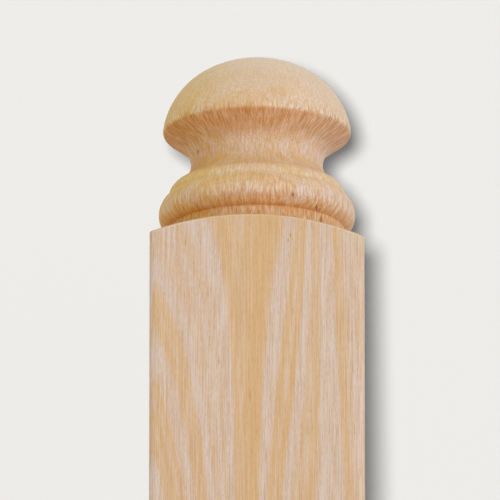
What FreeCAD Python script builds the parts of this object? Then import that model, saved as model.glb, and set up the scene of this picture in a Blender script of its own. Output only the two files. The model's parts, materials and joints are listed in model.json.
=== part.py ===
import FreeCAD, Part
import math
import os

# A turned mushroom cap on the square head of a fence post.
# The cap screws down on a hanger bolt that stands in the middle of the head.
# Millimetres. The origin is the centre of the head's underside, +Z is up and -Y is the front face.

# Square head of the post
head_width = 90.0
head_edge_rounding = 3.0
seat_height = 151.15
seat_radius = 37.1
shoulder_radius = 124.0     # the shoulder is part of a large ball
shoulder_flat_radius = 39.7   # flat left on top of the ball, just wider than the cap's foot
shoulder_offset = -2.6      # the shoulder was turned this far to the left of the head's middle

# Socket in the underside of the head, for the round peg of the post below
socket_radius = 25.0
socket_depth = 55.0

# Turned outline of the cap, from its seat upwards
neck_ring_height = 4.85
bead_swell = 4.37
bead_lower_height = 6.4
bead_upper_inset = 4.26
bead_upper_height = 8.07
quirk_height = 1.31
ledge_radius = 6.97
ledge_start_angle = 16.6
ledge_end_angle = 65.2
cove_radius = 9.66
underside_length = 7.99
underside_slope = 35.1
rim_radius = 2.93
rim_end_angle = 8.9
side_radius = 34.3
side_end_angle = 60.0

# Hanger bolt: machine thread above, wood thread below, both M8 in size
bolt_radius = 4.0
bolt_above_seat = 20.0
bolt_in_head = 50.0
bolt_tip_chamfer = 1.0
bolt_point_length = 9.0
bolt_point_radius = 0.4

# Threaded insert in the underside of the cap
insert_radius = 6.25
insert_length = 15.0
insert_edge_chamfer = 0.5
running_clearance = 0.05
end_clearance = 0.2

# Clearance hole in the cap, past the insert, with the cone that a drill leaves
cap_hole_radius = 4.5
cap_hole_depth = 24.0
drill_cone_height = 2.7


class Outline:
    """A half outline in the XZ plane, drawn from one point to the next."""

    def __init__(self, radius, height):
        self.radius = radius
        self.height = height
        self.edges = []

    def here(self):
        return FreeCAD.Vector(self.radius, 0, self.height)

    def line_to(self, radius, height):
        start = self.here()
        self.radius = radius
        self.height = height
        self.edges.append(Part.LineSegment(start, self.here()).toShape())

    def rise(self, distance):
        self.line_to(self.radius, self.height + distance)

    def slope(self, length, angle):
        run = length * math.cos(math.radians(angle))
        climb = length * math.sin(math.radians(angle))
        self.line_to(self.radius + run, self.height + climb)

    def arc(self, radius, start_angle, end_angle):
        """An arc that leaves this point; the angles are where it starts and ends on its circle."""
        start = math.radians(start_angle)
        centre = self.here() - radius * FreeCAD.Vector(math.cos(start), 0, math.sin(start))
        stations = []
        for angle in ((start_angle + end_angle) / 2, end_angle):
            turned = math.radians(angle)
            stations.append(centre + radius * FreeCAD.Vector(math.cos(turned), 0, math.sin(turned)))
        self.edges.append(Part.Arc(self.here(), *stations).toShape())
        self.radius = stations[-1].x
        self.height = stations[-1].z

    def revolve(self):
        """Close the outline and turn it about the Z axis."""
        start = self.edges[0].Vertexes[0].Point
        if (start - self.here()).Length > 1e-6:
            self.line_to(start.x, start.z)
        face = Part.Face(Part.Wire(self.edges))
        return face.revolve(FreeCAD.Vector(0, 0, 0), FreeCAD.Vector(0, 0, 1), 360)


def radius_of_swell(swell, height):
    """Radius of the arc that swells out by swell over height and ends upright."""
    return (swell ** 2 + height ** 2) / (2 * swell)


def cylinder(radius, bottom, top):
    return Part.makeCylinder(radius, top - bottom, FreeCAD.Vector(0, 0, bottom))


def cone(bottom_radius, top_radius, bottom, top):
    return Part.makeCone(bottom_radius, top_radius, top - bottom, FreeCAD.Vector(0, 0, bottom))


def make_turned_cap():
    """Mushroom crown, cove, ledge, bead and neck ring in one turned piece, drilled from below."""
    lower_radius = radius_of_swell(bead_swell, bead_lower_height)
    upper_radius = radius_of_swell(bead_upper_inset, bead_upper_height)
    lower_angle = math.degrees(math.asin(bead_lower_height / lower_radius))
    upper_angle = math.degrees(math.asin(bead_upper_height / upper_radius))

    outline = Outline(0.0, seat_height)
    outline.line_to(seat_radius, seat_height)
    outline.rise(neck_ring_height)
    outline.arc(lower_radius, -lower_angle, 0)
    outline.arc(upper_radius, 0, upper_angle)
    outline.rise(quirk_height)
    outline.arc(ledge_radius, ledge_start_angle, ledge_end_angle)
    outline.arc(cove_radius, ledge_end_angle + 180, underside_slope + 90)
    outline.slope(underside_length, underside_slope)
    outline.arc(rim_radius, underside_slope - 90, rim_end_angle)
    outline.arc(side_radius, rim_end_angle, side_end_angle)
    crown_radius = outline.radius / math.cos(math.radians(side_end_angle))
    outline.arc(crown_radius, side_end_angle, 90)
    solid = outline.revolve()

    pocket_radius = insert_radius + running_clearance
    pocket_top = seat_height + insert_length + end_clearance
    hole_top = seat_height + cap_hole_depth
    solid = solid.cut(cylinder(pocket_radius, seat_height, pocket_top))
    solid = solid.cut(cylinder(cap_hole_radius, seat_height, hole_top))
    return solid.cut(cone(cap_hole_radius, 0, hole_top, hole_top + drill_cone_height))


def make_cap_insert():
    """Threaded steel insert, level with the underside of the cap."""
    top = seat_height + insert_length
    outline = Outline(bolt_radius + running_clearance, seat_height)
    outline.line_to(insert_radius - insert_edge_chamfer, seat_height)
    outline.line_to(insert_radius, seat_height + insert_edge_chamfer)
    outline.line_to(insert_radius, top - insert_edge_chamfer)
    outline.line_to(insert_radius - insert_edge_chamfer, top)
    outline.line_to(bolt_radius + running_clearance, top)
    return outline.revolve()


def bolt_outline():
    """Half outline of the hanger bolt, from its point to its chamfered tip."""
    tip = seat_height + bolt_above_seat
    point = seat_height - bolt_in_head
    outline = Outline(0.0, point)
    outline.line_to(bolt_point_radius, point)
    outline.line_to(bolt_radius, point + bolt_point_length)
    outline.line_to(bolt_radius, tip - bolt_tip_chamfer)
    outline.line_to(bolt_radius - bolt_tip_chamfer, tip)
    outline.line_to(0.0, tip)
    return outline


def make_hanger_bolt():
    return bolt_outline().revolve()


def make_post_block():
    """Square head with eased upright edges, its top turned to a flat seat and a falling shoulder."""
    half = head_width / 2
    blank = Part.makeBox(head_width, head_width, seat_height, FreeCAD.Vector(-half, -half, 0))
    upright = [edge for edge in blank.Edges if edge.BoundBox.ZLength > seat_height / 2]
    blank = blank.makeFillet(head_edge_rounding, upright)

    reach = math.hypot(half, half) + abs(shoulder_offset) + 1.0
    outer_angle = math.acos(reach / shoulder_radius)
    inner_angle = math.acos(shoulder_flat_radius / shoulder_radius)
    rim_height = seat_height - shoulder_radius * (math.sin(inner_angle) - math.sin(outer_angle))
    turning = Outline(0.0, 0.0)
    turning.line_to(reach, 0.0)
    turning.line_to(reach, rim_height)
    turning.arc(shoulder_radius, math.degrees(outer_angle), math.degrees(inner_angle))
    turning.line_to(0.0, seat_height)
    shoulder = turning.revolve()
    shoulder.translate(FreeCAD.Vector(shoulder_offset, 0, 0))
    solid = blank.common(shoulder)

    solid = solid.cut(cylinder(socket_radius, 0, socket_depth))
    return solid.cut(bolt_outline().revolve())


pieces = {
    "turned_cap": make_turned_cap(),
    "cap_insert": make_cap_insert(),
    "hanger_bolt": make_hanger_bolt(),
    "post_block": make_post_block(),
}

os.makedirs("parts", exist_ok=True)
for name, piece in pieces.items():
    if piece.ShapeType != "Solid":
        piece = piece.Solids[0]
    piece.exportStep("parts/" + name + ".step")
    box = piece.BoundBox
    print(name, "valid", piece.isValid(), "volume", round(piece.Volume), "mm3",
          "height", round(box.ZMin, 2), "to", round(box.ZMax, 2))
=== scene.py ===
# %% [markdown]
# # A turned fence post cap in bare softwood
#
# The object is four pieces: the turned mushroom cap, the square head of the post under it, the steel
# hanger bolt that joins them, and the threaded insert in the cap. The design gives their sizes, places
# and motion. This lesson makes pieces that look like the real ones: clean turned curves, soft edges,
# screw threads, and wood whose rings and fibres run through the whole solid.

# %% Load the design
import json
import math
import bpy
from mathutils import Matrix, Vector


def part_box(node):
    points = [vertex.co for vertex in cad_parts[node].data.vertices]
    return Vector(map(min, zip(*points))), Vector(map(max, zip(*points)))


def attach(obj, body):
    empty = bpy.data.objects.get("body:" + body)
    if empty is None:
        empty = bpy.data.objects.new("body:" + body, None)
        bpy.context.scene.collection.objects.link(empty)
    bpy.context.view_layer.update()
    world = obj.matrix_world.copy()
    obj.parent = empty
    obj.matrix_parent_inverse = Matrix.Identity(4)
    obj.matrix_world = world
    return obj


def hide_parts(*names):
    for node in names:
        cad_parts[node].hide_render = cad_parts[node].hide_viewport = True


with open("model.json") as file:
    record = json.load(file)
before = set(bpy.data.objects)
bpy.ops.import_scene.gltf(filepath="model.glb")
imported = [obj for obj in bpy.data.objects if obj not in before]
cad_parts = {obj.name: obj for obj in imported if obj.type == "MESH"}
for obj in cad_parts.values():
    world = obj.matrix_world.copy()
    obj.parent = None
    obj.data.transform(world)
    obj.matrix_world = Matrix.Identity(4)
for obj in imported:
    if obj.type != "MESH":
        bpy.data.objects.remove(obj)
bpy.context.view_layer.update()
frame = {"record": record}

MM = 0.001

# %% [markdown]
# ## The places everything is measured from
#
# The design's own boxes say where each piece starts and ends. The seat is the flat ring where the cap
# stands on the post. Reading it from the design keeps the new pieces and the motion in step.

# %% Key heights and sizes
head_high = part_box("post_block")[1]
cap_low, cap_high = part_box("turned_cap")
bolt_low, bolt_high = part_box("hanger_bolt")
insert_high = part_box("cap_insert")[1]

SEAT = cap_low.z
CAP_TOP = cap_high.z
HALF_WIDTH = head_high.x
SEAT_RADIUS = 37.1 * MM
SHOULDER_RADIUS = 124.0 * MM
SHOULDER_FLAT = 39.7 * MM
SHOULDER_SHIFT = -2.6 * MM
LEVEL_ZERO = 150.0    # the heights in the cap's colour lists are counted from here, in mm
HEAD_EDGE = 3.0 * MM
print("seat at", round(SEAT / MM, 2), "mm, cap top at", round(CAP_TOP / MM, 2), "mm")

# %% [markdown]
# ## Helpers for modelling
#
# An operator works on whatever is selected, so a new piece starts with nothing selected. A few short
# helpers keep the modelling readable: start clean, enter and leave edit mode, and select vertices by
# their place.

# %% Modelling helpers
def start_clean():
    """Leave nothing selected, so that the next operator touches only the new piece."""
    if bpy.context.object and bpy.context.object.mode != "OBJECT":
        bpy.ops.object.mode_set(mode="OBJECT")
    bpy.ops.object.select_all(action="DESELECT")


def name_piece(name):
    piece = bpy.context.object
    piece.name = name
    piece.data.name = name
    return piece


def edit(kind="VERT"):
    bpy.ops.object.mode_set(mode="EDIT")
    bpy.ops.mesh.select_mode(type=kind)


def leave_edit():
    bpy.ops.object.mode_set(mode="OBJECT")


def select_edges(piece, wanted):
    """Select the edges whose two end points pass the test, then stay in edit mode."""
    edit("EDGE")
    bpy.ops.mesh.select_all(action="DESELECT")
    leave_edit()
    for edge in piece.data.edges:
        ends = [piece.data.vertices[index].co for index in edge.vertices]
        edge.select = wanted(ends[0]) and wanted(ends[1])
    edit("EDGE")


def apply_modifiers(piece):
    bpy.context.view_layer.objects.active = piece
    for modifier in list(piece.modifiers):
        bpy.ops.object.modifier_apply(modifier=modifier.name)


def settle_normals():
    """Weld stray doubles and turn every face outwards."""
    edit()
    bpy.ops.mesh.select_all(action="SELECT")
    bpy.ops.mesh.remove_doubles(threshold=0.001 * MM)
    bpy.ops.mesh.normals_make_consistent(inside=False)
    leave_edit()


def count(piece):
    triangles = sum(len(face.vertices) - 2 for face in piece.data.polygons)
    print(piece.name, "has", triangles, "triangles")


# %% [markdown]
# ## The outline of the turned cap
#
# A turner cuts the cap from a spinning blank: a straight neck ring, a fat bead, a small ledge, a hollow
# cove, the sloping underside of the mushroom, its rolled rim and the dome. Each is one arc or one line,
# and each arc carries on from the one before. The outline is built here the same way, as a walk from cut
# to cut.

# %% The walk along the turned outline
def arc_from(point, radius, start_angle, end_angle, step=2.0 * MM):
    """Points of an arc that leaves this point; the angles are its places on its own circle."""
    start, end = math.radians(start_angle), math.radians(end_angle)
    centre_r = point[0] - radius * math.cos(start)
    centre_z = point[1] - radius * math.sin(start)
    pieces = max(6, math.ceil(abs(end - start) * radius / step))
    stations = []
    for index in range(1, pieces + 1):
        angle = start + (end - start) * index / pieces
        stations.append((centre_r + radius * math.cos(angle), centre_z + radius * math.sin(angle)))
    return stations


def line_from(point, run, climb, pieces=2):
    return [(point[0] + run * i / pieces, point[1] + climb * i / pieces) for i in range(1, pieces + 1)]


def cap_outline():
    """Radius and height of each cut, from the seat up to the top of the dome."""
    cuts = [(SEAT_RADIUS, SEAT)]
    cuts += line_from(cuts[-1], 0, 4.85 * MM, 4)
    cuts += arc_from(cuts[-1], 6.87 * MM, -68.7, 0, 0.6 * MM)
    cuts += arc_from(cuts[-1], 9.77 * MM, 0, 55.7, 0.7 * MM)
    cuts += line_from(cuts[-1], 0, 1.31 * MM)
    cuts += arc_from(cuts[-1], 6.97 * MM, 16.6, 65.2, 0.6 * MM)
    cuts += arc_from(cuts[-1], 9.66 * MM, 245.2, 125.1, 0.8 * MM)
    slope = math.radians(35.1)
    cuts += line_from(cuts[-1], 7.99 * MM * math.cos(slope), 7.99 * MM * math.sin(slope), 6)
    cuts += arc_from(cuts[-1], 2.93 * MM, -54.9, 8.9, 0.35 * MM)
    cuts += arc_from(cuts[-1], 34.3 * MM, 8.9, 60.0, 1.2 * MM)
    crown_radius = cuts[-1][0] / math.cos(math.radians(60.0))
    cuts += arc_from(cuts[-1], crown_radius, 60.0, 90.0, 1.2 * MM)
    return cuts


outline = cap_outline()
print(len(outline), "cuts, widest", round(max(r for r, z in outline) / MM, 2), "mm in radius")

# %% [markdown]
# ## Turning the cap
#
# The cap could be a spun outline, or a stack of rings pulled up one after another. Rings are easier to
# read: a circle starts at the end of the drilled hole, and each step extrudes it and scales it to the
# next radius, out through the insert's pocket, across the seat and up the outside. The last ring closes
# on the dome.

# %% Turn the cap
CAP_SIDES = 288
POCKET_RADIUS = insert_high.x + 0.05 * MM
HOLE_RADIUS = bolt_high.x + 0.5 * MM
POCKET_TOP = insert_high.z + 0.2 * MM
HOLE_TOP = SEAT + 24.0 * MM
DRILL_CONE = 2.7 * MM


def turn_cap():
    start_clean()
    bpy.ops.mesh.primitive_circle_add(vertices=CAP_SIDES, radius=HOLE_RADIUS, fill_type="NGON")
    piece = name_piece("cap_wood")
    edit()
    bpy.ops.mesh.select_all(action="SELECT")
    bpy.ops.transform.translate(value=(0, 0, HOLE_TOP))
    bpy.ops.mesh.select_mode(type="FACE")
    bpy.ops.mesh.select_all(action="SELECT")
    bpy.ops.mesh.poke(offset=DRILL_CONE)
    leave_edit()

    select_edges(piece, lambda co: math.hypot(co.x, co.y) > HOLE_RADIUS * 0.9)
    inner = [(HOLE_RADIUS, HOLE_TOP), (HOLE_RADIUS, POCKET_TOP), (POCKET_RADIUS, POCKET_TOP),
             (POCKET_RADIUS, SEAT), (POCKET_RADIUS * 2, SEAT)]
    stations = inner + outline
    for (radius, height), (next_radius, next_height) in zip(stations, stations[1:]):
        bpy.ops.mesh.extrude_edges_move(TRANSFORM_OT_translate={"value": (0, 0, next_height - height)})
        if next_radius < 0.01 * MM:
            bpy.ops.mesh.merge(type="CENTER")
            continue
        grow = next_radius / radius
        bpy.ops.transform.resize(value=(grow, grow, 1), center_override=(0, 0, next_height))
    leave_edit()
    settle_normals()
    bpy.ops.object.shade_smooth_by_angle(angle=math.radians(32))
    return piece


cap_wood = turn_cap()
count(cap_wood)
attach(cap_wood, "cap")
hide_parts("turned_cap")

# %% [markdown]
# ## The square head of the post
#
# The head is a planed square post with slightly eased upright edges. Its top was turned on the lathe to
# a flat seat and a falling shoulder, and where that round shoulder runs out through a flat side it
# leaves an arch. A boolean would give the arch but a messy mesh. Here a square is bevelled at its
# corners, pulled down to full length, sliced into a fine lattice, and the top points are lowered onto
# the turned shoulder.

# %% The blank for the head
LATTICE = 1.5 * MM    # fine enough for a smooth arch


def saw_blank():
    start_clean()
    bpy.ops.mesh.primitive_plane_add(size=HALF_WIDTH * 2)
    piece = name_piece("post_head_wood")
    edit()
    bpy.ops.mesh.select_all(action="SELECT")
    bpy.ops.transform.translate(value=(0, 0, SEAT))
    bpy.ops.mesh.bevel(offset=HEAD_EDGE, segments=6, affect="VERTICES")
    bpy.ops.mesh.select_all(action="SELECT")
    bpy.ops.mesh.extrude_region_move(TRANSFORM_OT_translate={"value": (0, 0, -SEAT)})
    slices = int(HALF_WIDTH / LATTICE)
    for axis in (Vector((1, 0, 0)), Vector((0, 1, 0))):
        for index in range(1 - slices, slices):
            bpy.ops.mesh.select_all(action="SELECT")
            bpy.ops.mesh.bisect(plane_co=axis * index * LATTICE, plane_no=axis)
    for share in (0.25, 0.5, 0.75, 0.9):
        bpy.ops.mesh.select_all(action="SELECT")
        bpy.ops.mesh.bisect(plane_co=(0, 0, SEAT * share), plane_no=(0, 0, 1))
    leave_edit()
    return piece


post_head = saw_blank()
count(post_head)

# %% [markdown]
# The shoulder is part of a large ball, with a flat left on top for the cap. Every point of the top is
# dropped by the ball's fall at its own distance from the axis, and the arch appears along the four sides
# by itself. The arch's edge then gets a hair of rounding, as sandpaper leaves it.

# %% Turn the shoulder and ease its edge
def shoulder_fall(co):
    """How far the turned shoulder lies below the seat at this point; it was turned a little off centre."""
    out = max(SHOULDER_FLAT, math.hypot(co.x - SHOULDER_SHIFT, co.y))
    flat_height = math.sqrt(SHOULDER_RADIUS ** 2 - SHOULDER_FLAT ** 2)
    return flat_height - math.sqrt(SHOULDER_RADIUS ** 2 - out ** 2)


def on_arch(co):
    """True for points on the rim of the top, where the shoulder meets a side."""
    side = max(abs(co.x), abs(co.y)) > HALF_WIDTH - 0.01 * MM
    corner = math.hypot(abs(co.x) - HALF_WIDTH + HEAD_EDGE, abs(co.y) - HALF_WIDTH + HEAD_EDGE)
    in_corner = min(abs(co.x), abs(co.y)) > HALF_WIDTH - HEAD_EDGE and abs(corner - HEAD_EDGE) < 0.15 * MM
    level = abs(co.z - SEAT + shoulder_fall(co)) < 0.01 * MM
    return level and (side or in_corner)


def turn_shoulder(piece):
    for vertex in piece.data.vertices:
        if vertex.co.z > SEAT - 0.01 * MM:
            vertex.co.z -= shoulder_fall(vertex.co)
    select_edges(piece, on_arch)
    bpy.ops.mesh.bevel(offset=0.45 * MM, segments=3, affect="EDGES")
    leave_edit()


turn_shoulder(post_head)
count(post_head)

# %% [markdown]
# The underside is drilled for the round peg of the post below, and the top for the bolt. Two cylinders
# bored out with boolean modifiers do what the drill does, and the socket's mouth is eased.

# %% Drill the socket and the bolt hole
SOCKET_RADIUS = frame["record"]["mounts"][1]["dims"]["r_mm"] * MM
SOCKET_DEPTH = frame["record"]["mounts"][1]["dims"]["length_mm"] * MM


def drill(piece, radius, bottom, top, sides):
    """Cut a round hole between two heights."""
    start_clean()
    bpy.ops.mesh.primitive_cylinder_add(vertices=sides, radius=radius, depth=top - bottom)
    bit = name_piece("drill_bit")
    edit()
    bpy.ops.mesh.select_all(action="SELECT")
    bpy.ops.transform.translate(value=(0, 0, (top + bottom) / 2))
    leave_edit()
    start_clean()
    bpy.context.view_layer.objects.active = piece
    piece.select_set(True)
    cut = piece.modifiers.new("drilled", "BOOLEAN")
    cut.operation = "DIFFERENCE"
    cut.solver = "EXACT"
    cut.object = bit
    apply_modifiers(piece)
    bpy.data.objects.remove(bit)


drill(post_head, SOCKET_RADIUS, -5 * MM, SOCKET_DEPTH, 160)
drill(post_head, bolt_high.x + 0.15 * MM, bolt_low.z - 2 * MM, SEAT + 5 * MM, 48)


def on_socket_mouth(co):
    return abs(co.z) < 0.01 * MM and abs(math.hypot(co.x, co.y) - SOCKET_RADIUS) < 0.02 * MM


select_edges(post_head, on_socket_mouth)
bpy.ops.mesh.bevel(offset=0.6 * MM, segments=2, affect="EDGES")
leave_edit()
bpy.ops.object.shade_smooth_by_angle(angle=math.radians(32))
count(post_head)
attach(post_head, "post")
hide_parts("post_block")

# %% [markdown]
# ## Screw threads
#
# A thread is one small triangular ridge wound round a plain rod. The ridge's section is drawn as three
# points and the Screw modifier winds it, rising one pitch in each turn. The rod is a stack of rings like
# the cap. The design's bolt is a plain cylinder at the crest of the thread, so the ridge stays inside
# it.

# %% Rods and ridges
def make_rod(name, rings, sides=48):
    """A round bar through the given (radius, height) rings, closed at both ends."""
    start_clean()
    bpy.ops.mesh.primitive_circle_add(vertices=sides, radius=rings[0][0], fill_type="NGON")
    piece = name_piece(name)
    edit()
    bpy.ops.mesh.select_all(action="SELECT")
    bpy.ops.transform.translate(value=(0, 0, rings[0][1]))
    for (radius, height), (next_radius, next_height) in zip(rings, rings[1:]):
        bpy.ops.mesh.extrude_region_move(TRANSFORM_OT_translate={"value": (0, 0, next_height - height)})
        grow = next_radius / radius
        bpy.ops.transform.resize(value=(grow, grow, 1), center_override=(0, 0, next_height))
    leave_edit()
    settle_normals()
    return piece


def wind_ridge(name, root, crest, bottom, top, pitch, width, steps=40):
    """A helical ridge from root radius to crest radius, between two heights."""
    start_clean()
    bpy.ops.mesh.primitive_circle_add(vertices=3, radius=1 * MM, fill_type="NOTHING")
    piece = name_piece(name)
    flat = 0.12 * width
    corners = [(root, bottom), (crest, bottom + width / 2 - flat), (root, bottom + width)]
    for vertex, (radius, height) in zip(piece.data.vertices, corners):
        vertex.co = (radius, 0, height)
    wound = piece.modifiers.new("wound", "SCREW")
    wound.axis = "Z"
    wound.angle = math.tau
    wound.screw_offset = pitch
    wound.iterations = int((top - bottom - width) / pitch)
    wound.steps = steps
    wound.render_steps = steps
    apply_modifiers(piece)
    edit("EDGE")
    bpy.ops.mesh.select_all(action="SELECT")
    bpy.ops.mesh.remove_doubles(threshold=0.001 * MM)
    bpy.ops.mesh.select_all(action="DESELECT")
    bpy.ops.mesh.select_non_manifold()
    bpy.ops.mesh.edge_face_add()
    leave_edit()
    settle_normals()
    return piece


def join(pieces, name):
    start_clean()
    for piece in pieces:
        piece.select_set(True)
    bpy.context.view_layer.objects.active = pieces[0]
    bpy.ops.object.join()
    bpy.ops.object.shade_smooth_by_angle(angle=math.radians(35))
    return name_piece(name)


# %% [markdown]
# The hanger bolt has a fine machine thread above for the insert, and a coarse wood thread with a point
# below.

# %% The hanger bolt
BOLT_RADIUS = bolt_high.x
MACHINE_PITCH = 1.25 * MM
WOOD_PITCH = 3.2 * MM
BOLT_WAIST = SEAT - 5 * MM


def make_bolt():
    core = BOLT_RADIUS - 0.68 * MM
    wood_core = BOLT_RADIUS - 1.1 * MM
    point = bolt_low.z + 8.5 * MM
    waist = BOLT_RADIUS - 0.4 * MM
    rings = [(0.3 * MM, bolt_low.z), (wood_core, point), (wood_core, BOLT_WAIST - 5 * MM)]
    rings += [(waist, BOLT_WAIST - 4 * MM), (waist, BOLT_WAIST), (core, BOLT_WAIST + 0.5 * MM)]
    rings += [(core, bolt_high.z - 0.5 * MM), (core - 0.5 * MM, bolt_high.z)]
    rod = make_rod("bolt_rod", rings)
    machine = wind_ridge("machine_ridge", core - 0.05 * MM, BOLT_RADIUS,
                         BOLT_WAIST, bolt_high.z - 0.4 * MM, MACHINE_PITCH, MACHINE_PITCH * 0.92)
    wood = wind_ridge("wood_ridge", wood_core - 0.05 * MM, BOLT_RADIUS, point, BOLT_WAIST - 5 * MM,
                      WOOD_PITCH, WOOD_PITCH * 0.45)
    return join([rod, machine, wood], "bolt_steel")


bolt = make_bolt()
count(bolt)
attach(bolt, "post")
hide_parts("hanger_bolt")

# %% [markdown]
# The insert is a short steel sleeve: a coarse knife thread outside bites the wood, and a fine thread
# inside takes the bolt. Only its bottom ring shows, when the cap is unscrewed, so the bore is left plain
# and the mouth is bevelled.

# %% The threaded insert
def make_insert():
    bore = BOLT_RADIUS + 0.05 * MM
    wall = insert_high.x - 0.8 * MM
    start_clean()
    bpy.ops.mesh.primitive_circle_add(vertices=64, radius=bore, fill_type="NOTHING")
    sleeve = name_piece("sleeve")
    edit("EDGE")
    bpy.ops.mesh.select_all(action="SELECT")
    bpy.ops.transform.translate(value=(0, 0, SEAT + 0.6 * MM))
    ease = 0.4 * MM
    mouth = (bore, SEAT + 0.6 * MM)
    rings = [mouth, (bore + 0.6 * MM, SEAT), (wall - ease, SEAT), (wall, SEAT + ease)]
    rings += [(wall, insert_high.z - ease), (wall - ease, insert_high.z)]
    rings += [(bore + ease, insert_high.z), (bore, insert_high.z - ease), mouth]
    for (radius, height), (next_radius, next_height) in zip(rings, rings[1:]):
        bpy.ops.mesh.extrude_edges_move(TRANSFORM_OT_translate={"value": (0, 0, next_height - height)})
        grow = next_radius / radius
        bpy.ops.transform.resize(value=(grow, grow, 1), center_override=(0, 0, next_height))
    leave_edit()
    settle_normals()
    knife = wind_ridge("knife_ridge", wall - 0.05 * MM, insert_high.x,
                       SEAT + 1.5 * MM, insert_high.z - 0.5 * MM, 3.0 * MM, 1.4 * MM)
    return join([sleeve, knife], "insert_steel")


insert = make_insert()
count(insert)
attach(insert, "insert")
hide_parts("cap_insert")

# %% [markdown]
# ## A shorthand for material nodes
#
# Wood needs many small sums: distances, bands and streaks. A little class gives each kind of node one
# short call, so that a recipe below reads as a list of steps and not as a page of wiring.

# %% Wiring shorthand
class Wiring:
    """Adds nodes to one material and links them as they are made."""

    def __init__(self, name):
        self.material = bpy.data.materials.new(name)
        self.material.use_nodes = True
        self.tree = self.material.node_tree
        self.shader = self.tree.nodes["Principled BSDF"]

    def add(self, kind, inputs=None, output=0, **settings):
        node = self.tree.nodes.new(kind)
        for key, value in settings.items():
            setattr(node, key, value)
        for key, value in (inputs or {}).items():
            self.feed(node.inputs[key], value)
        return node.outputs[output]

    def feed(self, socket, value):
        if isinstance(value, bpy.types.NodeSocket):
            self.tree.links.new(value, socket)
        else:
            socket.default_value = value

    def calc(self, operation, *values):
        return self.add("ShaderNodeMath", dict(enumerate(values)), operation=operation)

    def sum_of_squares(self, one, other):
        return self.calc("ADD", self.calc("MULTIPLY", one, one), self.calc("MULTIPLY", other, other))

    def fade(self, value, low, high):
        """0 below low, 1 above high, and a soft change between."""
        inputs = {"Value": value, "From Min": low, "From Max": high}
        return self.add("ShaderNodeMapRange", inputs, interpolation_type="SMOOTHSTEP")

    def span(self, value, low, high, at_low, at_high):
        """An even change from at_low to at_high, held beyond both ends."""
        inputs = {"Value": value, "From Min": low, "From Max": high, "To Min": at_low, "To Max": at_high}
        return self.add("ShaderNodeMapRange", inputs)

    def clamped(self, value, other):
        """The sum of two values, kept between 0 and 1."""
        return self.add("ShaderNodeMath", {0: value, 1: other}, operation="ADD", use_clamp=True)

    def mix(self, amount, low, high):
        """Blend two plain values."""
        return self.add("ShaderNodeMix", {"Factor": amount, "A": low, "B": high})

    def mix_colour(self, amount, low, high, mode="MIX"):
        node = self.tree.nodes.new("ShaderNodeMix")
        node.data_type = "RGBA"
        node.blend_type = mode
        self.feed(node.inputs[0], amount)
        self.feed(node.inputs[6], low)
        self.feed(node.inputs[7], high)
        return node.outputs[2]

    def bands(self, value, stops):
        """A grey ramp through (position, strength) stops, with soft changes."""
        node = self.tree.nodes.new("ShaderNodeValToRGB")
        node.color_ramp.interpolation = "EASE"
        elements = node.color_ramp.elements
        while len(elements) < len(stops):
            elements.new(0.5)
        for element, (position, strength) in zip(elements, stops):
            element.position = position
            element.color = (strength, strength, strength, 1)
        self.feed(node.inputs[0], value)
        return node.outputs[0]

    def noise(self, vector, scale=1.0, detail=2.0, roughness=0.5):
        inputs = {"Vector": vector, "Scale": scale, "Detail": detail, "Roughness": roughness}
        return self.add("ShaderNodeTexNoise", inputs)

    def finish(self, colour, roughness, bump_height, bump_distance):
        self.feed(self.shader.inputs["Base Color"], colour)
        self.feed(self.shader.inputs["Roughness"], roughness)
        inputs = {"Height": bump_height, "Distance": bump_distance, "Strength": 1.0}
        self.feed(self.shader.inputs["Normal"], self.add("ShaderNodeBump", inputs))
        return self.material


# %% [markdown]
# ## Wood that runs through the solid
#
# Growth rings are nested tubes round the heart of the tree, so a board's pattern is a slice through them.
# An image wrapped on the faces would break at every edge. Here the colour is worked out at each point of
# space from its distance to the heart, which lies behind the post, so front, sides, shoulder and end grain
# agree. On the front face the rings are cut almost flat and spread into wide bands; a short list places
# the broadest ones, and all other rings follow a one-dimensional noise.

# %% Ring distance and bands
FRONT = HALF_WIDTH / MM


def place_in_mm(wiring):
    coordinates = wiring.add("ShaderNodeTexCoord", output=3)
    scaled = wiring.add("ShaderNodeVectorMath", {0: coordinates, "Scale": 1000.0}, operation="SCALE")
    node = wiring.tree.nodes.new("ShaderNodeSeparateXYZ")
    wiring.feed(node.inputs[0], scaled)
    return scaled, node.outputs[0], node.outputs[1], node.outputs[2]


def stretched(wiring, place, across, along, offset=0.0):
    """The place, squeezed so that one unit is across mm sideways and along mm up the grain."""
    inputs = {"Vector": place, "Location": (offset, offset, offset)}
    inputs["Scale"] = (1 / across, 1 / across, 1 / along)
    return wiring.add("ShaderNodeMapping", inputs)


def wander(wiring, place, across, along, amount, seed):
    """A slow sideways drift of the rings, in mm either way."""
    drift = wiring.noise(stretched(wiring, place, across, along, seed), detail=1.0)
    return wiring.calc("MULTIPLY_ADD", drift, 2 * amount, -amount)


def ring_bands(wiring, ring, spacing, seed):
    """Soft bands of uneven width, one after another outwards from the heart."""
    inputs = {"W": wiring.calc("MULTIPLY_ADD", ring, 1 / spacing, seed), "Scale": 1.0, "Detail": 1.5}
    return wiring.fade(wiring.add("ShaderNodeTexNoise", inputs, noise_dimensions="1D"), 0.36, 0.64)


# %% [markdown]
# ## The head's pattern
#
# The heart of the tree lies well behind the post, so the front face is cut almost flat through the rings.
# A place on any other face is traced along its ring to the front, and takes the band strength found there.
# Six broad tan bands are listed, and a noise adds narrow ones between them. Bands left and just right of
# the middle lean towards it as they go down, and the outer right one stands up.

# %% Bands of the head
HEART_DEPTH = 115.0
HEART_X = -3.8
LEVEL = 76.0
BETWEEN_BANDS = 0.12
BAND_EDGE = 1.6
HEAD_BANDS = [(-45, 6, 0.7), (-27, 3, 0.7), (0, 6, 0.9), (16, 3, 0.7), (27, 2, 0.6), (41, 2, 0.7)]


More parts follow.
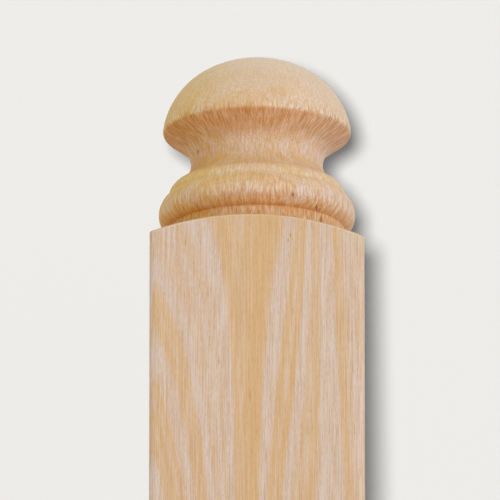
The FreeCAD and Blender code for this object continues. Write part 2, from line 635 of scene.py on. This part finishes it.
def bands_at(wiring, place_across, bands):
    return wiring.bands(place_across, [(0.5 + at / 100, strength) for at, strength in bands])


def soft_edged(bands):
    """The ramp stops of bands given as middle, half-width in mm, and strength."""
    stops = []
    for middle, half, strength in bands:
        stops += [(middle - half - BAND_EDGE, BETWEEN_BANDS), (middle - half, strength)]
        stops += [(middle + half, strength), (middle + half + BAND_EDGE, BETWEEN_BANDS)]
    return [(max(at, -50), strength) for at, strength in stops]


def head_bands(wiring, place, x, y, z):
    drift = wander(wiring, place, 12.0, 60.0, 0.6, 2.0)
    across = wiring.calc("ADD", wiring.calc("SUBTRACT", x, HEART_X), drift)
    up = wiring.calc("SUBTRACT", z, LEVEL)
    left_lean = wiring.span(across, -45.0, -2.0, -0.40, 0.0)
    tongue = wiring.span(across, 0.0, 14.0, 0.0, 0.12)
    tongue = wiring.calc("MULTIPLY", tongue, wiring.span(across, 20.0, 34.0, 1.0, 0.0))
    right_lean = wiring.span(across, 20.0, 40.0, 0.0, -0.05)
    lean = wiring.calc("ADD", wiring.calc("ADD", left_lean, tongue), right_lean)
    across = wiring.calc("SUBTRACT", across, wiring.calc("MULTIPLY", lean, up))

    deep = wiring.calc("SUBTRACT", HEART_DEPTH - FRONT, y)
    squares = wiring.sum_of_squares(across, deep)
    ring = wiring.calc("SQRT", squares)
    beyond = wiring.calc("MAXIMUM", wiring.calc("SUBTRACT", squares, HEART_DEPTH ** 2), 0.0)
    front_place = wiring.calc("MULTIPLY", wiring.calc("SQRT", beyond), wiring.calc("SIGN", across))
    position = wiring.calc("MULTIPLY_ADD", front_place, 0.01, 0.5)
    broad = bands_at(wiring, position, soft_edged(HEAD_BANDS))
    narrow = ring_bands(wiring, front_place, 5.0, 4.0)
    front = wiring.calc("MULTIPLY_ADD", wiring.calc("SUBTRACT", narrow, 0.5), 0.45, broad)
    inner = ring_bands(wiring, ring, 2.4, 2.0)
    return wiring.mix(wiring.fade(ring, HEART_DEPTH - 1.5, HEART_DEPTH), inner, front)


# %% [markdown]
# ## The cap's pattern
#
# The cap is turned from its own blank, tan at its left and rosy at its right; the tan and yellow on the
# left are partly the wood's tone and partly painted shade on the side away from the light. The lathe cuts
# through many rings, so the tone also changes with height: the neck ring and the step above the bead are
# tan, the front of the hollow is rosy. Finer rings show as faint loops where the dome and the bead bulge
# towards the front.

# %% Bands of the cap
CAP_ACROSS = [(-50, 1.0), (-30, 0.95), (-20, 0.75), (-8, 0.5), (8, 0.42), (20, 0.22), (36, 0.1),
              (50, 0.2)]
CAP_UPWARDS = [(0, 0.9), (5, 0.9), (12, 0.1), (20, 0.9), (30, 0.9), (35, 0.2), (45, 0.4), (80, 0.1)]


def cap_bands(wiring, place, x, y, z):
    across = wiring.calc("ADD", x, wander(wiring, place, 22.0, 50.0, 7.0, 5.0))
    side = bands_at(wiring, wiring.calc("MULTIPLY_ADD", across, 0.01, 0.5), CAP_ACROSS)
    up = wiring.calc("ADD", z, wander(wiring, place, 6.0, 12.0, 1.5, 6.0))
    up = wiring.calc("MULTIPLY_ADD", up, 0.01, -0.01 * LEVEL_ZERO)
    level = wiring.bands(up, [(at / 100, s) for at, s in CAP_UPWARDS])
    beside = wiring.calc("ADD", x, wander(wiring, place, 16.0, 40.0, 3.0, 9.0))
    beside = wiring.calc("SUBTRACT", beside, 8.0)
    deep = wiring.calc("SUBTRACT", 60.0, y)
    squares = wiring.sum_of_squares(beside, deep)
    rings = ring_bands(wiring, wiring.calc("SQRT", squares), 3.4, 5.0)
    tone = wiring.calc("ADD", wiring.calc("MULTIPLY", side, 0.7), wiring.calc("MULTIPLY", level, 0.6))
    shown = wiring.span(z, 196.0, 206.0, 0.36, 0.15)
    return wiring.calc("ADD", tone, wiring.calc("MULTIPLY", wiring.calc("SUBTRACT", rings, 0.75), shown))


# %% [markdown]
# ## Fibres and torn grain
#
# On top of the rings come the fibres: streaks a fraction of a millimetre wide that run with the grain,
# darker and browner where they open as pores. On the cap the lathe cut across the fibres. Under the
# mushroom, in the hollow and on the bead their torn ends form short streaks up and down the surface. On
# the cap the parts that face down also get painted shade, deeper and warmer in colour.

# %% Colour and finish of the wood
PALE = (0.604, 0.494, 0.428, 1)
TAN = (0.605, 0.413, 0.226, 1)
CAP_PALE = (0.680, 0.560, 0.490, 1)
CAP_TAN = (0.670, 0.440, 0.205, 1)
CAP_YELLOW = (0.660, 0.455, 0.165, 1)
WARM_SHADE = (0.85, 0.62, 0.42, 1)
# Warmer tone of the neck ring together with painted shade under the bead.
WARM_RING_AND_SHADE = (1.05, 0.77, 0.48, 1)
LIGHT_FIBRE = (1.07, 1.13, 1.20, 1)
DARK_FIBRE = (0.93, 0.84, 0.70, 1)
RESIN = (0.62, 0.38, 0.24, 1)
FLECK = (0.84, 0.62, 0.44, 1)
SOFT_LOOP = (0.98, 0.91, 0.76, 1)
PORE_BROWN = (0.90, 0.79, 0.63, 1)
# Painted highlight for the thin arch edge of the head.
ARRIS_HIGHLIGHT = (1.22, 1.24, 1.10, 1)
# Painted light for the top of the dome and, paler still, its crown.
DOME_PAINTED_LIGHT = (1.02, 1.08, 1.09, 1)
CROWN_PAINTED_LIGHT = (1.03, 1.08, 1.13, 1)
BELLY_SHADE = (0.89, 0.87, 0.96, 1)
# Painted light for the small step over the bead.
STEP_PAINTED_LIGHT = (1.05, 1.13, 1.17, 1)
UNCHANGED = (1, 1, 1, 1)
LIGHT_TEAR = (1.07, 1.16, 1.32, 1)
DARK_TEAR = (0.83, 0.67, 0.45, 1)


def tinted(wiring, colour, amount, light, dark):
    """The colour made lighter where amount is 0 and browner where it is 1."""
    return wiring.mix_colour(1.0, colour, wiring.mix_colour(amount, light, dark), "MULTIPLY")


def softwood_colour(wiring, place, bands, pale, tan, seed, gain=1.0):
    """Bands broken up by slow stripes, with fibres and pores on top; also gives the fibres' relief."""
    coarse = wiring.noise(stretched(wiring, place, 1.2, 70.0, seed + 3), detail=1.0)
    fine = wiring.noise(stretched(wiring, place, 0.34, 19.0, seed + 7), detail=1.0)
    hair = wiring.noise(stretched(wiring, place, 0.31, 2.4, seed + 11), detail=1.0)
    strength = wiring.calc("ADD", bands, wiring.calc("MULTIPLY_ADD", coarse, 0.3, -0.15))
    strength = wiring.clamped(wiring.calc("MULTIPLY_ADD", fine, 0.36, -0.18), strength)
    colour = wiring.mix_colour(strength, pale, tan)
    calm = wiring.calc("MULTIPLY", wiring.span(strength, 0.4, 0.9, 1.0, 0.65), gain)
    fibres = wiring.mix(0.4, fine, hair)
    contrast = wiring.calc("MULTIPLY", calm, 4.4)
    shown = wiring.calc("MULTIPLY_ADD", wiring.calc("SUBTRACT", fibres, 0.5), contrast, 0.5)
    colour = tinted(wiring, colour, shown, LIGHT_FIBRE, DARK_FIBRE)
    pores = wiring.noise(stretched(wiring, place, 0.42, 10.0, seed + 17), detail=0.0)
    pores = wiring.calc("MULTIPLY", wiring.fade(pores, 0.66, 0.82), calm)
    return tinted(wiring, colour, pores, UNCHANGED, PORE_BROWN), fibres


def torn_streaks(wiring, x, y, z, around, along, seed):
    """Streaks up and down a round surface, where the tool dragged cut fibre ends; along is in mm."""
    squares = wiring.sum_of_squares(x, y)
    radius = wiring.calc("SQRT", squares)
    radius = wiring.calc("MAXIMUM", radius, 1.0)
    place = {0: wiring.calc("DIVIDE", x, radius), 1: wiring.calc("DIVIDE", y, radius),
             2: wiring.calc("MULTIPLY_ADD", z, 1 / (around * along), seed)}
    streaks = wiring.noise(wiring.add("ShaderNodeCombineXYZ", place), scale=around, detail=1.0)
    return wiring.calc("SUBTRACT", streaks, 0.5)


TEARING = [(0, 1.5), (8, 1.0), (16, 0.5), (30, 0.4), (40, 0.6), (44, 1.0), (49, 1.0), (52, 0.2)]


def torn_colour(wiring, colour, x, y, z):
    """Streaks that are strongest under the dome, on the bead and on the neck ring."""
    up = wiring.calc("MULTIPLY_ADD", z, 0.01, -0.01 * LEVEL_ZERO)
    torn = wiring.bands(up, [(at / 100, strength) for at, strength in TEARING])
    short = torn_streaks(wiring, x, y, z, 78.0, 3.0, 3.0)
    long = torn_streaks(wiring, x, y, z, 38.0, 5.0, 8.0)
    streaks = wiring.calc("ADD", wiring.calc("MULTIPLY", short, 2.4), wiring.calc("MULTIPLY", long, 1.7))
    beside = wiring.span(wiring.calc("ABSOLUTE", x), 12.0, 32.0, 0.0, 0.7)
    under_dome = wiring.calc("MULTIPLY", beside, wiring.fade(z, 186.0, 191.0))
    torn = wiring.calc("MULTIPLY", torn, wiring.calc("ADD", under_dome, 1.0))
    streaks = wiring.calc("MULTIPLY_ADD", streaks, torn, 0.5)
    return tinted(wiring, colour, streaks, LIGHT_TEAR, DARK_TEAR), streaks


def marked(wiring, colour, place, marks, mark_colour):
    """Small brown flecks on the front: place across, height, half-width and half-length in mm."""
    shown = None
    for across, height, half_width, half_length in marks:
        inputs = {"Vector": place, "Location": (-across / half_width, 0, -height / half_length)}
        inputs["Scale"] = (1 / half_width, 0, 1 / half_length)
        spot = wiring.add("ShaderNodeMapping", inputs)
        away = wiring.add("ShaderNodeVectorMath", {0: spot}, 1, operation="LENGTH")
        fleck = wiring.fade(away, 1.3, 0.3)
        shown = fleck if shown is None else wiring.calc("MAXIMUM", shown, fleck)
    split = wiring.tree.nodes.new("ShaderNodeSeparateXYZ")
    wiring.feed(split.inputs[0], place)
    shown = wiring.calc("MULTIPLY", shown, wiring.fade(split.outputs[1], 0.0, -2.0))
    return tinted(wiring, colour, shown, UNCHANGED, mark_colour)


def paint(piece, material):
    piece.data.materials.clear()
    piece.data.materials.append(material)


# %% [markdown]
# ## The head in its wood
#
# The front of the planed head is matt, with a few short brown flecks of resin. The thin edge between
# shoulder and face gets a painted highlight, so it is a little paler. The flecks could be left to noise,
# but a few listed ones look like one piece of wood and not like a pattern.

# %% The head's wood
HEAD_MARKS = [(14, 140, 0.4, 1), (13, 138, 0.4, 1), (15, 107, 0.25, 2), (-30, 137, 0.25, 2),
              (-24, 119, 0.2, 3), (-16, 85, 0.3, 2), (40, 82, 0.2, 3), (-3, 70, 0.2, 3)]


def head_softwood():
    wiring = Wiring("head_softwood")
    place, x, y, z = place_in_mm(wiring)
    bands = head_bands(wiring, place, x, y, z)
    colour, fibres = softwood_colour(wiring, place, bands, PALE, TAN, 2.0)
    colour = marked(wiring, colour, place, HEAD_MARKS, FLECK)
    tilt = wiring.tree.nodes.new("ShaderNodeSeparateXYZ")
    wiring.feed(tilt.inputs[0], wiring.add("ShaderNodeNewGeometry", output=1))
    near_front = wiring.fade(y, 0.8 - FRONT, 0.4 - FRONT)
    # Painted highlight on the thin arch edge, where the faces turn up near the front.
    arris_highlight = wiring.calc("MULTIPLY", wiring.fade(tilt.outputs[2], 0.15, 0.4), near_front)
    colour = wiring.mix_colour(arris_highlight, colour, ARRIS_HIGHLIGHT, "MULTIPLY")
    wiring.shader.inputs["Specular IOR Level"].default_value = 0.3
    return wiring.finish(colour, 0.62, fibres, 0.15 * MM)


paint(post_head, head_softwood())
print("head wood uses", len(post_head.active_material.node_tree.nodes), "nodes")

# %% [markdown]
# ## The cap in its wood
#
# The cap's recipe starts from the same softwood and adds what turning does to it. Painted shade makes the
# crease over the neck ring, the bead's lower part, the left of the hollow and the underside of the dome
# darker and warmer, and the middle of the bead's belly a little darker; the neck ring also has a warmer
# tone of its own. Painted light makes the top of the dome and the small step over the bead paler.

# %% The cap's wood
CAP_MARKS = [(-25, 187, 0.4, 1), (15, 160, 0.7, 1), (25, 157, 0.5, 1), (27, 153, 0.6, 2)]
CAP_LOOPS = [(15, 166, 3, 5), (9, 206, 5, 3)]
# Heights of the neck ring's warm tone and of the painted shade in the crease and under the bead, strongest
# at the crease.
LOW_WARMTH_AND_SHADE = [(0, 0.5), (0.088, 0.5), (0.12, 1.0), (0.16, 0.65), (0.25, 0.0)]
# Heights where the cap's left side gets painted shade.
LEFT_SHADE_BAND = [(0.5, 0.0), (0.6, 0.4), (0.84, 0.4), (1.0, 0.0)]
BEAD_BELLY = [(0.14, 0.0), (0.19, 1.0), (0.25, 0.0)]
# Heights of the painted light on the step over the bead.
STEP_LIGHT_BAND = [(0.30, 0.0), (0.44, 1.0), (0.54, 0.0)]


def cap_softwood():
    wiring = Wiring("cap_softwood")
    place, x, y, z = place_in_mm(wiring)
    tilt = wiring.tree.nodes.new("ShaderNodeSeparateXYZ")
    wiring.feed(tilt.inputs[0], wiring.add("ShaderNodeNewGeometry", output=1))
    facing_up = tilt.outputs[2]
    above_seat = wiring.calc("SUBTRACT", z, LEVEL_ZERO)
    # Tan turning yellow towards the left: partly the wood's tone, partly painted shade on the cap's left
    # side.
    tan = wiring.mix_colour(wiring.fade(x, 5.0, -35.0), CAP_TAN, CAP_YELLOW)
    bands = cap_bands(wiring, place, x, y, z)
    gain = wiring.span(above_seat, 48.0, 75.0, 1.0, 0.4)
    colour, fibres = softwood_colour(wiring, place, bands, CAP_PALE, tan, 5.0, gain)
    # Painted light: the upper dome is made paler and cooler.
    colour = wiring.mix_colour(wiring.fade(above_seat, 46.0, 58.0), colour, DOME_PAINTED_LIGHT, "MULTIPLY")
    colour = marked(wiring, colour, place, CAP_MARKS, RESIN)
    colour = marked(wiring, colour, place, CAP_LOOPS, SOFT_LOOP)
    colour, streaks = torn_colour(wiring, colour, x, y, z)
    # Painted shade: faces that point down, from the hollow to the dome's rim, are darkened and warmed,
    # most near the rim and less on the lit right.
    under = wiring.span(above_seat, 41.0, 48.0, 0.62, 1.13)
    under = wiring.calc("MULTIPLY", under, wiring.fade(facing_up, -0.10, -0.75))
    under = wiring.calc("MULTIPLY", under, wiring.span(x, -5.0, 12.0, 1.04, 0.74))
    up = wiring.calc("MULTIPLY", above_seat, 0.02)
    # Painted shade in the crease over the neck ring and under the bead, less on the lit right, together
    # with the neck ring's warmer tone.
    low = wiring.calc("MULTIPLY", wiring.bands(up, LOW_WARMTH_AND_SHADE), wiring.span(x, 10.0, 35.0, 1.0, 0.6))
    # Painted shade on the cap's left side, in the hollow and under the dome.
    left = wiring.calc("MULTIPLY", wiring.fade(x, -6.0, -26.0), wiring.bands(up, LEFT_SHADE_BAND))
    under = wiring.calc("MULTIPLY", under, wiring.fade(above_seat, 15.0, 25.0))
    colour = wiring.mix_colour(wiring.calc("MAXIMUM", under, left), colour, WARM_SHADE, "MULTIPLY")
    colour = wiring.mix_colour(low, colour, WARM_RING_AND_SHADE, "MULTIPLY")
    middle = wiring.span(wiring.calc("ABSOLUTE", x), 12.0, 28.0, 1.0, 0.0)
    belly = wiring.calc("MULTIPLY", wiring.bands(up, BEAD_BELLY), middle)
    colour = wiring.mix_colour(belly, colour, BELLY_SHADE, "MULTIPLY")
    # Painted light: the small step over the bead is made paler.
    colour = wiring.mix_colour(wiring.bands(up, STEP_LIGHT_BAND), colour, STEP_PAINTED_LIGHT, "MULTIPLY")
    # Painted light on the crown of the dome.
    colour = wiring.mix_colour(wiring.fade(above_seat, 64.0, 76.0), colour, CROWN_PAINTED_LIGHT, "MULTIPLY")
    height = wiring.calc("SUBTRACT", fibres, wiring.calc("MULTIPLY", streaks, 1.2))
    wiring.shader.inputs["Specular IOR Level"].default_value = 0.3
    return wiring.finish(colour, 0.62, height, 0.10 * MM)


paint(cap_wood, cap_softwood())
print("cap wood uses", len(cap_wood.active_material.node_tree.nodes), "nodes")

# %% [markdown]
# ## The steel inside
#
# The bolt and the insert are zinc plated: a soft grey metal with cloudy spots. One metal shader with a
# little noise in its colour and roughness is enough, since they show only when the cap is unscrewed.

# %% Zinc plated steel
def zinc_steel():
    wiring = Wiring("zinc_plate")
    place = place_in_mm(wiring)[0]
    cloud = wiring.noise(stretched(wiring, place, 2.5, 2.5), detail=3.0)
    colour = wiring.mix_colour(cloud, (0.62, 0.64, 0.66, 1), (0.50, 0.51, 0.50, 1))
    wiring.shader.inputs["Metallic"].default_value = 1.0
    return wiring.finish(colour, wiring.calc("MULTIPLY_ADD", cloud, 0.2, 0.25), cloud, 0.01 * MM)


steel = zinc_steel()
for piece in (bolt, insert):
    paint(piece, steel)
print("steel on", bolt.name, "and", insert.name)

# %% [markdown]
# ## Floor, light and camera
#
# The cap is seen from a little below, from far away, so upright lines stay parallel. The floor is only
# there for the higher views: its underside is clear, so the low camera looks straight through it. A pale
# wall stands square to the camera behind the cap. It has a lamp of its own, close to the camera's left
# shoulder, that throws a soft shadow of the cap a few millimetres to the right and lights nothing else.

# %% Floor and wall
CAMERA_DISTANCE = 6.0
CAMERA_DROP = math.radians(17.3)
FRAME_WIDTH = 210.95 * MM
AIM = Vector((-2.95 * MM, 0, SEAT - 3.55 * MM))
TOWARDS_CAMERA = Vector((0, -math.cos(CAMERA_DROP), -math.sin(CAMERA_DROP)))
BACKGROUND = (0.863, 0.855, 0.831, 1)
WALL_GAP = 0.2
WALL_GLOW = 0.165


def one_sided(wiring):
    """Show the material on the front of a sheet only; its back is clear."""
    clear = wiring.add("ShaderNodeBsdfTransparent")
    behind = wiring.add("ShaderNodeNewGeometry", output=6)
    both = wiring.add("ShaderNodeMixShader", {0: behind, 1: wiring.shader.outputs[0], 2: clear})
    wiring.feed(wiring.tree.nodes["Material Output"].inputs["Surface"], both)


def make_sheet(name, colour, size=12.0):
    start_clean()
    bpy.ops.mesh.primitive_plane_add(size=size)
    sheet = name_piece(name)
    wiring = Wiring("pale_" + name)
    wiring.shader.inputs["Base Color"].default_value = colour
    wiring.shader.inputs["Roughness"].default_value = 0.9
    one_sided(wiring)
    paint(sheet, wiring.material)
    return sheet, wiring.shader


floor = make_sheet("floor", (0.80, 0.79, 0.77, 1))[0]
floor.visible_shadow = False
wall, wall_shader = make_sheet("wall", (0.0500, 0.0493, 0.0480, 1), 2.0)
FACING_CAMERA = TOWARDS_CAMERA.to_track_quat("Z", "Y")
behind_cap = Matrix.Translation(AIM - TOWARDS_CAMERA * WALL_GAP)
wall.data.transform(behind_cap @ FACING_CAMERA.to_matrix().to_4x4())
wall_shader.inputs["Specular IOR Level"].default_value = 0.0
wall_shader.inputs["Emission Color"].default_value = BACKGROUND
wall_shader.inputs["Emission Strength"].default_value = WALL_GLOW
wall.visible_diffuse = wall.visible_glossy = wall.visible_shadow = False
print("floor and wall in place, aim height", round(AIM.z / MM, 1), "mm")

# %% [markdown]
# ## Lamps and sky
#
# A large lamp high on the right makes the dome bright, and a warm one from below stands for light thrown
# back by the ground. Two small lamps low at the sides keep the hollow from going dark. Large lamps far
# away give soft edges, as a cloudy sky does.

# %% Light
def add_light(name, size, power, place, target, colour=(1, 1, 1)):
    data = bpy.data.lights.new(name, "AREA")
    data.shape = "DISK"
    data.size = size
    data.energy = power
    data.color = colour
    lamp = bpy.data.objects.new(name, data)
    bpy.context.scene.collection.objects.link(lamp)
    lamp.location = place
    lamp.rotation_euler = (Vector(target) - Vector(place)).to_track_quat("-Z", "Y").to_euler()
    lamp.visible_camera = False
    return lamp


LOOK_AT = (0, 0, SEAT)
key = add_light("key", 1.4, 16.8, (1.3, -2.0, 0.9), LOOK_AT, (1.0, 0.98, 0.97))
bounce = add_light("bounce", 1.4, 7.0, (-0.3, -0.9, -1.5), LOOK_AT, (1.0, 0.74, 0.50))
low_left = add_light("low_left", 0.8, 3.0, (-1.6, -0.5, -0.7), LOOK_AT, (1.0, 0.85, 0.68))
low_right = add_light("low_right", 0.8, 4.8, (1.6, -0.5, -0.7), LOOK_AT, (1.0, 0.88, 0.76))
up_and_left = FACING_CAMERA @ Vector((-0.140, 0.135, 0))
beside_camera = AIM + TOWARDS_CAMERA * CAMERA_DISTANCE + up_and_left
wall_lamp = add_light("wall_lamp", 0.33, 5080.0, beside_camera, AIM)
lit_by_lamp = bpy.data.collections.new("lit_by_wall_lamp")
lit_by_lamp.objects.link(wall)
wall_lamp.light_linking.receiver_collection = lit_by_lamp


def set_surroundings(background, above, below):
    world = bpy.data.worlds.new("studio")
    bpy.context.scene.world = world
    world.use_nodes = True
    tree = world.node_tree
    seen = tree.nodes["Background"]
    seen.inputs["Color"].default_value = background
    direction = tree.nodes.new("ShaderNodeTexCoord")
    split = tree.nodes.new("ShaderNodeSeparateXYZ")
    height = tree.nodes.new("ShaderNodeMapRange")
    height.inputs["From Min"].default_value = -0.8
    height.inputs["From Max"].default_value = 1.0
    glow = tree.nodes.new("ShaderNodeMix")
    glow.data_type = "RGBA"
    glow.inputs[6].default_value = below
    glow.inputs[7].default_value = above
    around = tree.nodes.new("ShaderNodeBackground")
    tree.links.new(direction.outputs["Generated"], split.inputs[0])
    tree.links.new(split.outputs[2], height.inputs["Value"])
    tree.links.new(height.outputs[0], glow.inputs[0])
    tree.links.new(glow.outputs[2], around.inputs["Color"])
    ray = tree.nodes.new("ShaderNodeLightPath")
    mix = tree.nodes.new("ShaderNodeMixShader")
    tree.links.new(ray.outputs["Is Camera Ray"], mix.inputs[0])
    tree.links.new(around.outputs[0], mix.inputs[1])
    tree.links.new(seen.outputs[0], mix.inputs[2])
    tree.links.new(mix.outputs[0], tree.nodes["World Output"].inputs["Surface"])


set_surroundings(BACKGROUND, above=(0.92, 0.93, 0.93, 1), below=(0.42, 0.30, 0.20, 1))
bpy.context.scene.view_settings.view_transform = "Standard"
print("lamps", [lamp.name for lamp in (key, bounce, low_left, low_right, wall_lamp)])

# %% [markdown]
# ## Camera
#
# The camera is six metres away with a long lens, so upright edges stay upright and the cap keeps its
# true outline. It stands lower than the cap and looks up at it.

# %% Camera
def add_camera():
    data = bpy.data.cameras.new("camera")
    data.sensor_width = 36.0
    data.lens = data.sensor_width * CAMERA_DISTANCE / FRAME_WIDTH
    data.clip_end = 100.0
    camera = bpy.data.objects.new("camera", data)
    bpy.context.scene.collection.objects.link(camera)
    camera.location = AIM + TOWARDS_CAMERA * CAMERA_DISTANCE
    camera.rotation_euler = (-TOWARDS_CAMERA).to_track_quat("-Z", "Y").to_euler()
    bpy.context.scene.camera = camera
    print("camera lens", round(data.lens), "mm, at height", round(camera.location.z, 2), "m")


add_camera()
